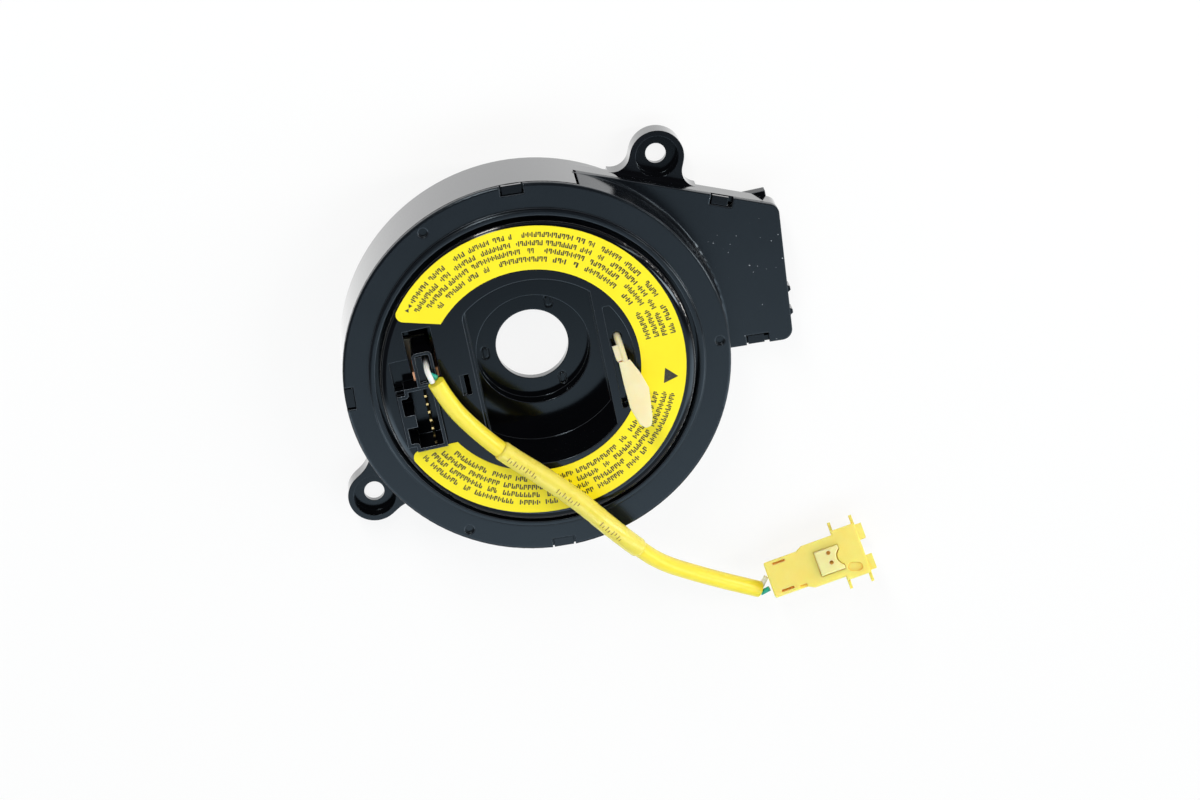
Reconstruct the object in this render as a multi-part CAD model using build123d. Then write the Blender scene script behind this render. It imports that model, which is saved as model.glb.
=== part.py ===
from build123d import *
import math
import os

# Steering clock spring lying on its back: the bore axis is Z, the turning face looks up
# and the mounting face of the case is the plane Z = 0.  Lengths are millimetres, angles degrees.

# ---------------------------------------------------------------- driving sizes
running_gap = 0.3          # between the fixed side and the turning side
seat_gap = 0.15            # between pieces that are fitted into each other
cut_margin = 1.0           # how far a cutting body runs past the surface it cuts

# case
case_radius = 49.8
case_wall = 1.8
case_floor = 1.8
case_height = 20.2         # top edge of the case wall, where the cover ring sits

# raised terminal box beside the case
box_far_reach = 19.4       # how far the outer corners stand out along X beyond the case radius
box_near_reach = 16.8
box_far_side = 25.2        # their distance from the X axis, one on each side of it
box_near_side = 11.2
box_edge_slope = 3.8       # slope of the box side that runs back to the case
box_corner_radius = 2.8
box_wall = 1.5
box_bottom = 3.0
box_floor = 1.5
box_rim = 8.4              # top edge of the box wall, where the lid sits

# screw ears
ear_radius = 7.0
ear_height = 5.2
ear_hole_radius = 2.65
ear_seat_radius = 5.5      # counterbore for the washer head
ear_seat_floor = 1.7
ear_far_stand = 10.1       # how far an ear's hole stands out beyond the case radius
ear_far_angle = 46.4
ear_near_stand = 8.1
ear_near_angle = -147.4
ear_neck = 13.0            # length of the neck between an ear and the case
ear_far_flare = 4.5        # hollow fillets on both sides of a neck
ear_near_flare = 8.5

# cover: ring, wall beside the box, lid
cover_thickness = 1.8
ring_width = 8.2
cover_edge_round = 0.6
seam_depth = 0.7           # groove that shows the joint between case and cover
seam_height = 0.5
lip_width = 1.5
lip_height = 1.1
lid_thickness = 1.6
lid_cove = 1.0
slit_turn = 0.4            # the slit beside the box: its place and width as turns about the bore
slit_width = 0.9
spigot_wall = 1.0
spigot_depth = 1.6
clip_width = 6.0
clip_depth = 2.6
clip_angles = (86.4, 176.4, -93.4)
hook_side_gap = 0.45
hook_drop = 0.5
dimple_radius = 1.25
dimple_depth = 1.0
dimple_inset = 5.6         # distance of the dimples from the ring's inner edge
dimple_first = 116.4
dimple_count = 3
lid_clip_far = 14.8        # distance of the lid clip from the far corner, along the edge
lid_clip_near = 9.2
lid_hook_gap = 1.3         # open side of a lid clip, toward the outer corner
nub_size = 1.0
nub_length = 3.0
nub_root = 0.5
nub_places = (1.4, -4.9)

# turning face, well and hub
face_stand = 2.2           # how far the face stands above the cover ring
face_gap = 1.1             # between the face and the cover ring
face_thickness = 2.0
face_edge_round = 0.7
skirt_wall = 1.7
flange_reach = 3.9         # how far the retaining flange stands out from the skirt
flange_thickness = 1.4
flange_drop = 0.6          # from the cover's underside down to the flange
well_radius = 25.0
well_wall = 1.6
well_flat_left = 15.3
well_ledge = 0.8           # narrow step along the top of the left flat
well_ledge_drop = 1.0
well_corner = 3.2
well_flat_right = 17.0
well_floor = 6.75
well_floor_thickness = 2.0
hub_wall = 1.8
hub_radius = 14.8          # recess in the well floor around the bore
hub_floor = 2.6
hub_bottom = 0.3
bore_radius = 9.45
mark_length = 3.6          # three slot-shaped grooves on the hub floor, all the same way round
mark_width = 2.1
mark_groove = 0.5
mark_depth = 0.4
mark_reach = 12.4
mark_first = 58.9
mark_count = 3

# pocket that holds the foot of the locking pin
pocket_left = 19.2
pocket_low = -14.5
pocket_high = 13.5
pocket_depth = 3.5
pocket_round = 0.5
pin_place = (21.5, 3.8)
pin_radius = 0.9
pin_clearance = 0.3
pin_tube_wall = 1.1
pin_tip_gap = 0.4          # the drawn tip stops this far above the floor of the case
latch_window = (-19.9, -17.6, -1.9, 3.6)
latch_tongue = 1.0         # width of the tongue that stands in the window
latch_tongue_drop = 0.8

# ribbon and its spool
spool_wall = 1.5
deck_thickness = 1.6
ribbon_height = 10.0
ribbon_thickness = 0.5
ribbon_turns = 7
ribbon_play = 0.8

# switch socket on the face (six pins in one row)
socket_left = -36.5
socket_right = -26.5
socket_low = -13.3
socket_high = 4.1
socket_stand = 2.8         # height of its rim above the face
socket_wall = 0.9
socket_floor = 1.4
socket_step_x = 2.1
socket_step_y = 1.6
socket_key_length = 3.4
socket_key_reach = 2.2
socket_key_place = -4.8
switch_pin_count = 6
switch_pin_pitch = 2.24
switch_pin_size = 0.64
switch_pin_x = -29.5
switch_pin_height = 7.0
switch_pin_first = -11.6
carrier_thickness = 1.4

# tower of the lead
tower_left = -30.7
tower_right = -25.5
tower_high = 13.4
tower_stand = 3.8          # height of its rim above the face
tower_wall = 0.8
tower_round = 1.3
tower_depth = 8.0
tower_ledge = 1.3
tower_ledge_drop = 1.2
bay_gap = 0.5
bay_head = 4.9             # open length of the bay beyond the tower
recess_left = -36.7        # sunk field of the face between the tower and the rim
recess_high = 10.9
recess_drop = 3.0
recess_floor = 1.2
terminal_width = 2.4
terminal_thickness = 0.5
terminal_place = 6.3
terminal_stand = 0.5

# sticker
label_margin = 1.6         # bare rim of the face outside the sticker
label_inner = 27.3
label_thickness = 0.15
label_centre = (-0.9, 0.6)
label_end_high = (-32.8, 21.6)
label_end_slope = -16.0
label_low_edge = -13.9
label_corner = 2.0

# sockets at the back of the box
column_reach = (6.8, 17.2)  # both ends along X beyond the case radius, and along Y
column_span = (8.6, 27.6)
feed_reach = (5.2, 14.8)
feed_span = (-8.2, 6.0)
shroud_wall = 1.1
shroud_lid_gap = 0.3       # between the closed top of a plug socket and the lid
plug_pin_size = 0.64
plug_pin_pitch = 2.5
plug_pin_rows = 2
column_pin_columns = 5
feed_pin_columns = 3
plug_pin_recess = 4.25     # from the mouth of a plug socket up to the tips of its pins
terminal_bar = 1.2
ribbon_gate_angle = 12.0
ribbon_gate_width = 8.0

# locking pin
pin_stem_drop = 2.6        # from the face down to the bend above the stem
pin_neck = 1.8             # radius of the bend above the stem
pin_flag_thickness = 1.5
pin_flag_round = 1.0
pin_flag_slope = 25.0
pin_flag_heading = -86.0
pin_flag_place = (22.1, -1.9)
pin_flag_rise = 2.0        # from the face up to the start of the flag
pin_fin_outline = ((2.2, -2.0), (2.2, 0.0), (6.6, 0.0), (6.6, -1.6), (5.8, -2.0))
pin_flag_tip = 13.0        # the outline is rounded beyond this
pin_flag_outline = ((-0.6, -1.6), (-0.6, 1.3), (3.2, 2.9), (7.6, 4.0), (14.6, 2.9),
                    (17.0, 2.1), (17.3, 0.4), (16.0, -0.8), (11.3, -2.0), (5.0, -1.9))

# lead: sleeve route, first point at the tower and last point at the plug
sleeve_diameter = 4.4
marker_diameter = 5.2
wire_diameter = 1.4
arc_share = 0.45           # share of the shorter run that an arc may use
lead_over_face = (         # points over the turning side; their heights are above the face
    (-25.9, 5.8, 6.7), (-23.9, -0.9, 6.1), (-19.6, -8.7, 5.0), (-13.1, -17.8, 4.2),
    (-4.6, -26.3, 4.4), (3.3, -35.2, 5.0), (9.6, -43.9, 5.2), (14.8, -51.4, 3.0),
)
lead_to_plug = ((20.5, -60.7, 20.3), (29.9, -69.2, 13.8), (38.4, -75.9, 9.2), (45.3, -80.4, 7.0))
marker_first_index = 3     # route points between which the marker tube lies
marker_last_index = 7

# conductors, bare between tower and sleeve and between sleeve and plug
wire_offset = 0.65
wire_white_y = 9.6
wire_green_y = 7.7
wire_well_inset = 1.15
wire_white_rise = 0.6      # bends of the wires, above the middle of the sleeve
wire_green_rise = -1.3
wire_end_gap = 0.7
wire_bend_radius = 1.6
wire_apart = 0.95          # from the sleeve's middle to each conductor, at the outer end

# plug at the end of the lead
plug_origin = (48.45, -78.7)
plug_turn = 8.0
plug_roll = 26.0           # it lies on one lower edge, its top leaning toward the case
plug_height = 9.0
plug_rear_width = 9.8
plug_rear_length = 9.2
plug_body_width = 11.6
plug_body_start = 11.0
plug_body_end = 19.6
plug_head_width = 13.8
plug_head_end = 26.4
plug_wall = 1.1
plug_floor = 0.9
plug_roof = 7.1
plug_edge_round = 0.6
plug_ear_thickness = 0.8
plug_ear_reach = 2.4
plug_front_lip = 1.7
plug_front_gap = 4.4
plug_slot_start = 2.3
plug_slot_length = 3.4
plug_slot_width = 0.6
plug_lock_start = 13.6
plug_lock_length = 6.6
plug_lock_width = 6.6
plug_lock_shift = -0.4     # the insert sits a little to one side
plug_lock_seat = 0.8
plug_lock_height = 1.2
plug_lock_hollow = 1.3
plug_lock_holes = (1.6, -1.1)
plug_lock_hole_inset = 3.6
plug_lock_hole_radius = 0.55
plug_tongue_place = (22.8, -4.2)
plug_tongue_turn = -20.0
plug_tongue_size = (4.0, 2.4)
plug_tongue_drop = 0.5
plug_notch = (7.2, 9.2)    # notch in the edge of the rear end, on its low side
plug_notch_depth = 0.9
plug_contact_start = 2.0
plug_contact_pitch = 3.6
plug_contact_radius = 0.7


# ---------------------------------------------------------------- values worked out from them
case_inner = case_radius - case_wall
box_corner_far = (case_radius + box_far_reach, box_far_side)
box_corner_near = (case_radius + box_near_reach, -box_near_side)
ear_far_reach = case_radius + ear_far_stand
ear_near_reach = case_radius + ear_near_stand
cover_inner_radius = case_radius - ring_width
dimple_reach = cover_inner_radius + dimple_inset
far_angle = math.degrees(math.atan2(box_corner_far[1], box_corner_far[0]))
far_reach = math.hypot(*box_corner_far)
slit_angle = far_angle + math.degrees(math.acos(case_radius / far_reach))
tangent_point = (case_radius * math.cos(math.radians(slit_angle)),
                 case_radius * math.sin(math.radians(slit_angle)))
near_slope = math.tan(math.radians(box_edge_slope))
near_height = near_slope * box_corner_near[0] - box_near_side
near_square = 1 + near_slope ** 2
near_root = math.sqrt(near_square * case_radius ** 2 - near_height ** 2)
wall_end_x = (near_height * near_slope + near_root) / near_square
wall_end = (wall_end_x, near_height - near_slope * wall_end_x)
near_angle = math.degrees(math.atan2(wall_end[1], wall_end[0]))
cover_top = case_height + cover_thickness
lid_top = box_rim + lid_thickness
face_radius = cover_inner_radius - face_gap
face_height = cover_top + face_stand
flange_top = case_height - flange_drop
label_outer = face_radius - label_margin
skirt_inner = face_radius - skirt_wall
well_outer = well_radius + well_wall
spool_inner = well_outer + seat_gap
spool_outer = spool_inner + spool_wall
deck_bottom = case_floor + ribbon_height + ribbon_play
deck_top = deck_bottom + deck_thickness
hub_outer = hub_radius + hub_wall
plate_bottom = face_height - face_thickness
pocket_floor = face_height - pocket_depth
bay_right = tower_right + bay_gap + terminal_thickness
bay_left = tower_left - bay_gap - terminal_thickness
carrier_top = deck_top + carrier_thickness
socket_top = face_height + socket_stand
tower_top = face_height + tower_stand
tower_floor_height = tower_top - tower_depth
column_box = (case_radius + column_reach[0], case_radius + column_reach[1], *column_span)
feed_box = (case_radius + feed_reach[0], case_radius + feed_reach[1], *feed_span)
shroud_top = box_rim - shroud_lid_gap
pin_stem_top = face_height - pin_stem_drop
pin_flag_start = (*pin_flag_place, face_height + pin_flag_rise)
lead_route = tuple((x, y, face_height + z) for x, y, z in lead_over_face) + lead_to_plug


# ---------------------------------------------------------------- helpers
def slab(plan, bottom, top):
    """A plan drawn on Z = 0, raised to fill bottom to top."""
    return Pos(0, 0, bottom) * extrude(plan, top - bottom, dir=(0, 0, 1))


def rectangle(x0, x1, y0, y1):
    """A rectangle between two pairs of coordinates."""
    return Pos((x0 + x1) / 2, (y0 + y1) / 2) * Rectangle(x1 - x0, y1 - y0)


def block(x0, x1, y0, y1, z0, z1):
    """A box between three pairs of coordinates."""
    return slab(rectangle(x0, x1, y0, y1), z0, z1)


def annulus(inner, outer):
    """A flat ring about the bore axis."""
    return Circle(outer) - Circle(inner)


def polar(reach, angle):
    """The point at a reach and an angle from the bore axis."""
    return (reach * math.cos(math.radians(angle)), reach * math.sin(math.radians(angle)))


def sector(inner, outer, start, end):
    """The part of a flat ring between two angles, less than half a turn apart."""
    far = 2 * outer
    middle = (start + end) / 2
    wedge = Polygon((0, 0), polar(far, start), polar(far, middle), polar(far, end), align=None)
    return annulus(inner, outer) & wedge


def nearest(items, point):
    """The vertex or edge whose centre is nearest to a point."""
    target = Vector(*point)
    return min(items, key=lambda item: (item.center() - target).length)


def edges_at(solid, height, reach, spread=0.05):
    """Circular edges at one height and one distance from the bore axis."""
    def fits(edge):
        middle = edge @ 0.5
        level = abs(middle.Z - height) < spread and abs((edge @ 0.0).Z - height) < spread
        return level and abs(math.hypot(middle.X, middle.Y) - reach) < spread
    return [edge for edge in solid.edges() if fits(edge)]


# ---------------------------------------------------------------- fixed side
def box_plan():
    """Outline of the terminal box: its far side leaves the case along a tangent."""
    corners = ((0, 0), tangent_point, box_corner_far, box_corner_near, wall_end)
    plan = Polygon(*corners, align=None)
    rounded = [nearest(plan.vertices(), (*corner, 0)) for corner in (box_corner_far, box_corner_near)]
    return fillet(rounded, box_corner_radius)


def body_plan():
    """Outline of case and box together, as one closed line."""
    behind = polar(case_radius, (slit_angle + near_angle + 360) / 2)
    case_arc = ThreePointArc(tangent_point, behind, wall_end)
    sides = Polyline(wall_end, box_corner_near, box_corner_far, tangent_point)
    plan = make_face(case_arc + sides)
    corners = [nearest(plan.vertices(), (*corner, 0)) for corner in (box_corner_far, box_corner_near)]
    return fillet(corners, box_corner_radius)


def ear_plan(reach, angle, heading, flare):
    """One ear on a neck square to the outline; growing and shrinking the plan makes its hollow fillets."""
    centre = polar(reach, angle)
    neck = Rot(0, 0, heading) * rectangle(-ear_neck, 0, -ear_radius, ear_radius)
    plan = body_plan() + Pos(*centre) * (Circle(ear_radius) + neck)
    plan = offset(offset(plan, flare), -flare)
    strip = Pos(*centre) * Rot(0, 0, heading) * Rectangle(reach, 2 * (ear_radius + flare + seat_gap))
    return plan & strip


def ear_cut(reach, angle):
    """Screw hole and washer seat of one ear."""
    hole = slab(Circle(ear_hole_radius), -cut_margin, ear_height + cut_margin)
    seat = slab(Circle(ear_seat_radius), ear_seat_floor, ear_height + cut_margin)
    return Pos(*polar(reach, angle), 0) * (hole + seat)


def clip_places():
    """Where a clip sits on the ring: turned so that its own X looks outward."""
    return [Pos(*polar(case_radius, angle), 0) * Rot(0, 0, angle) for angle in clip_angles]


def lid_clip_places():
    """Where a clip sits on the lid edge: the first on the far side, the second on the near side."""
    far_heading = math.degrees(math.atan2(tangent_point[1] - box_corner_far[1],
                                          tangent_point[0] - box_corner_far[0]))
    near_heading = 180.0 - box_edge_slope
    far_step = polar(lid_clip_far, far_heading)
    near_step = polar(lid_clip_near, near_heading)
    far = Pos(box_corner_far[0] + far_step[0], box_corner_far[1] + far_step[1], 0)
    near = Pos(box_corner_near[0] + near_step[0], box_corner_near[1] + near_step[1], 0)
    return [far * Rot(0, 0, far_heading - 90), near * Rot(0, 0, near_heading + 90)]


def window(bottom, top):
    """The notch that a clip hook stands in, at its own origin."""
    return block(-clip_depth, cut_margin, -clip_width / 2, clip_width / 2, bottom, top)


def hook(bottom, top, wall, low_gap=hook_side_gap, high_gap=hook_side_gap):
    """A snap hook that stands up from a wall edge into its notch, with a gap on either side."""
    low = low_gap - clip_width / 2
    high = clip_width / 2 - high_gap
    post = block(-wall, -seat_gap, low, high, bottom - hook_drop, top)
    nose = block(-clip_depth + seat_gap, -wall, low, high, top - hook_drop, top)
    return post + nose


def stator_housing():
    box = box_plan()
    body = slab(Circle(case_radius), 0, case_height) + slab(body_plan(), box_bottom, box_rim)
    far_ear = ear_plan(ear_far_reach, ear_far_angle, slit_angle, ear_far_flare)
    near_ear = ear_plan(ear_near_reach, ear_near_angle, ear_near_angle, ear_near_flare)
    body += slab(far_ear, 0, ear_height) + slab(near_ear, 0, ear_height)
    box_room = offset(box, -box_wall) - Circle(case_radius)
    body -= slab(Circle(case_inner), case_floor, case_height + cut_margin)
    body -= slab(box_room, box_bottom + box_floor, case_height)
    beside = sector(case_inner - cut_margin, case_radius + cut_margin, near_angle, slit_angle - slit_turn)
    body -= slab(beside, box_rim, case_height + cut_margin)
    gate = Rot(0, 0, ribbon_gate_angle) * rectangle(case_inner - cut_margin, case_radius + cut_margin,
                                                    -ribbon_gate_width / 2, ribbon_gate_width / 2)
    body -= slab(gate, box_bottom + box_floor, box_rim + cut_margin)
    body -= slab(Circle(hub_outer + running_gap), -cut_margin, case_floor + cut_margin)
    lock_hole = Pos(*pin_place) * Circle(pin_radius + pin_clearance)
    body -= slab(lock_hole, -cut_margin, case_floor + cut_margin)
    body -= ear_cut(ear_far_reach, ear_far_angle)
    body -= ear_cut(ear_near_reach, ear_near_angle)
    for walls in (column_box, feed_box):
        body -= slab(offset(shroud_plan(walls), seat_gap / 2), 0, box_bottom + box_floor + cut_margin)
    for place in clip_places():
        body += place * hook(case_height, cover_top - hook_drop, case_wall)
    far_clip, near_clip = lid_clip_places()
    lid_hook_top = lid_top - hook_drop / 2
    body += far_clip * hook(box_rim, lid_hook_top, box_wall, low_gap=lid_hook_gap)
    body += near_clip * hook(box_rim, lid_hook_top, box_wall, high_gap=lid_hook_gap)
    for y in nub_places:
        share = (y - box_corner_near[1]) / (box_corner_far[1] - box_corner_near[1])
        x = box_corner_near[0] + share * (box_corner_far[0] - box_corner_near[0])
        nub = Pos(x, y) * Polygon((-nub_root, -nub_length / 2), (nub_size, -nub_size / 2),
                                  (nub_size, nub_size / 2), (-nub_root, nub_length / 2), align=None)
        body += slab(nub, box_bottom, box_rim - box_floor)
    return body


def cover_cove():
    """Hollow round between the wall beside the box and the lid."""
    corner = case_radius + lid_cove
    height = lid_top + lid_cove
    square = Pos((case_radius + corner) / 2, (lid_top + height) / 2) * Rectangle(lid_cove, lid_cove)
    profile = square - Pos(corner, height) * Circle(lid_cove)
    ring = revolve(Plane.XZ * profile, Axis.Z)
    return ring & slab(box_plan(), lid_top, height)


def front_cover():
    ring = slab(annulus(cover_inner_radius, case_radius), case_height, cover_top)
    ring = fillet(edges_at(ring, cover_top, case_radius), cover_edge_round)
    seam = annulus(case_radius - seam_depth, case_radius + cut_margin)
    ring -= slab(seam, case_height - cut_margin, case_height + seam_height)
    lip = slab(annulus(cover_inner_radius, cover_inner_radius + lip_width), case_height,
               cover_top + lip_height)
    lip = fillet(edges_at(lip, cover_top + lip_height, cover_inner_radius + lip_width), lip_height / 2)
    wall_turns = (near_angle + seat_gap, slit_angle - slit_turn - slit_width)
    wall = slab(sector(case_inner, case_radius, *wall_turns), box_rim, case_height + seam_height)
    slit = sector(case_inner - cut_margin, case_radius + seat_gap, wall_turns[1], slit_angle + slit_turn)
    lid = slab(box_plan() - Circle(case_inner) - slit, box_rim, lid_top)
    spigot_outer = case_inner - seat_gap
    spigot = slab(annulus(spigot_outer - spigot_wall, spigot_outer),
                  case_height - spigot_depth, case_height)
    body = ring + lip + wall + lid + cover_cove() + spigot
    for place in clip_places():
        body -= place * window(case_height - cut_margin, cover_top + cut_margin)
    for place in lid_clip_places():
        body -= place * window(box_rim - cut_margin, lid_top + cut_margin)
    for index in range(dimple_count):
        spot = polar(dimple_reach, dimple_first - index * 360 / dimple_count)
        body -= Pos(*spot, 0) * slab(Circle(dimple_radius), cover_top - dimple_depth,
                                     cover_top + cut_margin)
    return body


def ribbon_cable():
    """Flat cable wound as a spiral of half turns, each about one of two centres."""
    first = spool_outer + running_gap + ribbon_thickness / 2
    last = case_inner - running_gap - ribbon_thickness / 2
    half_turns = 2 * ribbon_turns
    step = (last - first) / (half_turns + 1)
    pieces = []
    for index in range(half_turns):
        radius = first + (index + 1) * step
        centre = 0 if index % 2 == 0 else -step
        side = 1 if index % 2 == 0 else -1
        band = Circle(radius + ribbon_thickness / 2) - Circle(radius - ribbon_thickness / 2)
        half = Pos(0, side * case_radius) * Rectangle(4 * case_radius, 2 * case_radius)
        pieces.append(Pos(centre, 0) * (band & half))
    strip = pieces[0]
    for piece in pieces[1:]:
        strip += piece
    return slab(strip, case_floor, case_floor + ribbon_height)


def shroud_plan(walls):
    """Outline of a plug socket where it passes through the box: its walls, clear of the box wall."""
    return rectangle(*walls) & offset(box_plan(), -box_wall - seat_gap)


def shroud(walls, top):
    """An open-backed plug socket with a closed top: full outline under the box, cut to the box above."""
    x0, x1, y0, y1 = walls
    outer = block(x0, x1, y0, y1, 0, box_bottom) + slab(shroud_plan(walls), 0, top)
    room = block(x0 + shroud_wall, x1 - shroud_wall, y0 + shroud_wall, y1 - shroud_wall,
                 -cut_margin, top - shroud_wall)
    key_half = shroud_wall
    key = block(x0 - cut_margin, x0 + shroud_wall + cut_margin, (y0 + y1) / 2 - key_half,
                (y0 + y1) / 2 + key_half, -cut_margin, box_bottom)
    room &= slab(offset(box_plan(), -box_wall - seat_gap - shroud_wall), -cut_margin, top)
    return outer - room - key


def shroud_pins(walls, columns):
    """Square pins that hang from the closed top of a plug socket."""
    x0, x1, y0, y1 = walls
    half = plug_pin_size / 2
    bodies = []
    for row in range(plug_pin_rows):
        for column in range(columns):
            x = (x0 + x1) / 2 + (row - (plug_pin_rows - 1) / 2) * plug_pin_pitch
            y = (y0 + y1) / 2 + (column - (columns - 1) / 2) * plug_pin_pitch
            bodies.append(block(x - half, x + half, y - half, y + half, plug_pin_recess,
                                shroud_top - shroud_wall))
    return Compound(children=bodies)


def ribbon_terminal_block():
    """Bar in the box that carries the ribbon's outer end to both plug sockets."""
    floor = box_bottom + box_floor
    left = feed_box[0] - 2 * terminal_bar
    bar = block(left, feed_box[0] - seat_gap, feed_box[2], feed_box[3], floor, shroud_top)
    bar += block(left, column_box[0] - seat_gap, feed_box[3], column_box[3] - 4 * terminal_bar,
                 floor, shroud_top)
    half = ribbon_gate_width / 2 - running_gap
    arm = Rot(0, 0, ribbon_gate_angle) * rectangle(case_inner + seat_gap, feed_box[0] - terminal_bar,
                                                   -half, half)
    return bar + slab(arm, floor, floor + 2 * terminal_bar)


# ---------------------------------------------------------------- turning side
def well_plan(widen=0.0):
    """Round well cut off by two flats, with a rounded corner at the upper end of the left one."""
    reach = 2 * well_radius
    left = -well_flat_left - widen
    plan = Circle(well_radius) & rectangle(left, well_flat_right, -reach, reach)
    return fillet(nearest(plan.vertices(), (left, well_radius, 0)), well_corner)


def pocket_plan():
    """Crescent between the right flat and the round of the well."""
    plan = Circle(well_radius) & rectangle(pocket_left, well_outer, pocket_low, pocket_high)
    return fillet(plan.vertices(), pocket_round)


def socket_plan(grow=0.0):
    """Outline of the switch socket, stepped at its two outer corners."""
    left = socket_left - grow
    right = socket_right + grow
    low = socket_low - grow
    high = socket_high + grow
    plan = rectangle(left, right, low, high)
    plan -= rectangle(left - cut_margin, left + socket_step_x, high - socket_step_y, high + cut_margin)
    plan -= rectangle(left - cut_margin, left + socket_step_x, low - cut_margin, low + socket_step_y)
    return plan


def tower_plan(shrink=0.0):
    """Outline of the lead tower; it stands against the socket."""
    low = socket_high + seat_gap + shrink
    plan = rectangle(tower_left + shrink, tower_right - shrink, low, tower_high - shrink)
    high = [vertex for vertex in plan.vertices() if vertex.Y > tower_high - shrink - seat_gap]
    return fillet(high, tower_round - shrink)


def mark_plan():
    """A groove that runs round in the shape of a slot."""
    outer = SlotOverall(mark_length, mark_width)
    island = SlotOverall(mark_length - 2 * mark_groove, mark_width - 2 * mark_groove)
    return Rot(0, 0, 90) * (outer - island)


def recess_plan(grow=0.0):
    """Sunk field beside the tower, open to the bay."""
    return rectangle(recess_left - grow, bay_left + seat_gap, socket_high - cut_margin, recess_high + grow)


def rotor_top():
    plate = slab(Circle(face_radius), plate_bottom, face_height)
    plate = fillet(edges_at(plate, face_height, face_radius), face_edge_round)
    body = plate + slab(annulus(skirt_inner, face_radius), deck_top, plate_bottom)
    body += slab(annulus(skirt_inner, face_radius + flange_reach), flange_top - flange_thickness, flange_top)
    well_bottom = well_floor - well_floor_thickness
    body += slab(Circle(well_outer), well_bottom, plate_bottom)
    body += slab(Circle(hub_outer), hub_bottom, well_floor)
    body -= slab(well_plan(), well_floor, face_height + cut_margin)
    body -= slab(well_plan(well_ledge), face_height - well_ledge_drop, face_height + cut_margin)
    body -= slab(Circle(hub_radius), hub_floor, face_height)
    body -= slab(Circle(bore_radius), -cut_margin, face_height)
    reach = 2 * well_radius
    core_edge = -well_flat_left - well_ledge - well_wall
    left_core = Circle(well_radius) & rectangle(-reach, core_edge, -reach, reach)
    right_core = Circle(well_radius) & rectangle(well_flat_right + well_wall, reach, -reach, reach)
    body -= slab(left_core, well_bottom - cut_margin, plate_bottom)
    body -= slab(right_core, well_bottom - cut_margin, pocket_floor - well_wall)
    body -= slab(pocket_plan(), pocket_floor, face_height + cut_margin)
    tube = Pos(*pin_place) * Circle(pin_radius + pin_clearance + pin_tube_wall)
    body += slab(tube & Circle(well_outer), well_bottom, pocket_floor)
    body -= slab(Pos(*pin_place) * Circle(pin_radius + pin_clearance), 0, face_height)
    recess_bottom = face_height - recess_drop - recess_floor
    body += slab(recess_plan(recess_floor) & Circle(skirt_inner), recess_bottom, plate_bottom)
    body -= slab(recess_plan(), face_height - recess_drop, face_height + cut_margin)
    bay = socket_plan(seat_gap) + rectangle(bay_left, bay_right, socket_high - cut_margin, tower_high + bay_head)
    body -= slab(bay, deck_top, face_height + cut_margin)
    x0, x1, y0, y1 = latch_window
    body -= block(x0 + latch_tongue, x1, y0, y1, plate_bottom - cut_margin, face_height + cut_margin)
    body -= block(x0, x1, y0, y1, face_height - latch_tongue_drop, face_height + cut_margin)
    for index in range(mark_count):
        spot = polar(mark_reach, mark_first + index * 360 / mark_count)
        body -= Pos(*spot, 0) * slab(mark_plan(), hub_floor - mark_depth, hub_floor + cut_margin)
    return body


def ribbon_spool():
    drum = slab(annulus(spool_inner, spool_outer), case_floor + running_gap, deck_top)
    deck = slab(annulus(spool_inner, face_radius), deck_bottom, deck_top)
    return drum + deck


def rotor_terminal_block():
    """Plate on the deck that carries the switch pins and the two lead terminals."""
    low_room = socket_low + socket_step_y
    plan = rectangle(socket_left + socket_step_x, socket_right, low_room, tower_high)
    inside = annulus(spool_outer, skirt_inner - seat_gap)
    return slab(plan & inside, deck_top, carrier_top)


def switch_socket():
    outer = slab(socket_plan(), carrier_top, socket_top)
    room = offset(socket_plan(), -socket_wall)
    outer -= slab(room, carrier_top + socket_floor, socket_top + cut_margin)
    key_low = socket_key_place - socket_key_length / 2
    key_left = socket_left + socket_wall / 2
    outer += block(key_left, key_left + socket_wall + socket_key_reach, key_low, key_low + socket_key_length,
                   carrier_top, socket_top)
    for y in switch_pin_rows():
        half = switch_pin_size / 2 + seat_gap / 2
        outer -= block(switch_pin_x - half, switch_pin_x + half, y - half, y + half,
                       carrier_top - cut_margin, carrier_top + socket_floor + cut_margin)
    return outer


def switch_pin_rows():
    """Places of the switch pins along Y."""
    return [switch_pin_first + index * switch_pin_pitch for index in range(switch_pin_count)]


def switch_pins():
    half = switch_pin_size / 2
    bodies = [block(switch_pin_x - half, switch_pin_x + half, y - half, y + half, carrier_top,
                    carrier_top + switch_pin_height) for y in switch_pin_rows()]
    return Compound(children=bodies)


def lead_tower():
    body = slab(tower_plan(), carrier_top, tower_top)
    body -= slab(tower_plan(tower_wall), tower_floor_height, tower_top + cut_margin)
    ledge_left = tower_left + tower_wall / 2
    ledge = block(ledge_left, ledge_left + tower_wall + tower_ledge, socket_high + seat_gap + tower_wall / 2,
                  tower_high - 2 * tower_wall, carrier_top, tower_top - tower_ledge_drop)
    return body + ledge


def lead_terminals():
    """Two bright strips that stand beside the tower."""
    y0 = terminal_place - terminal_width / 2
    y1 = terminal_place + terminal_width / 2
    top = face_height + terminal_stand
    left = block(tower_left - terminal_thickness - seat_gap, tower_left - seat_gap, y0, y1, carrier_top, top)
    right = block(tower_right + seat_gap, tower_right + seat_gap + terminal_thickness, y0, y1, deck_top, top)
    return Compound(children=[left, right])


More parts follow.
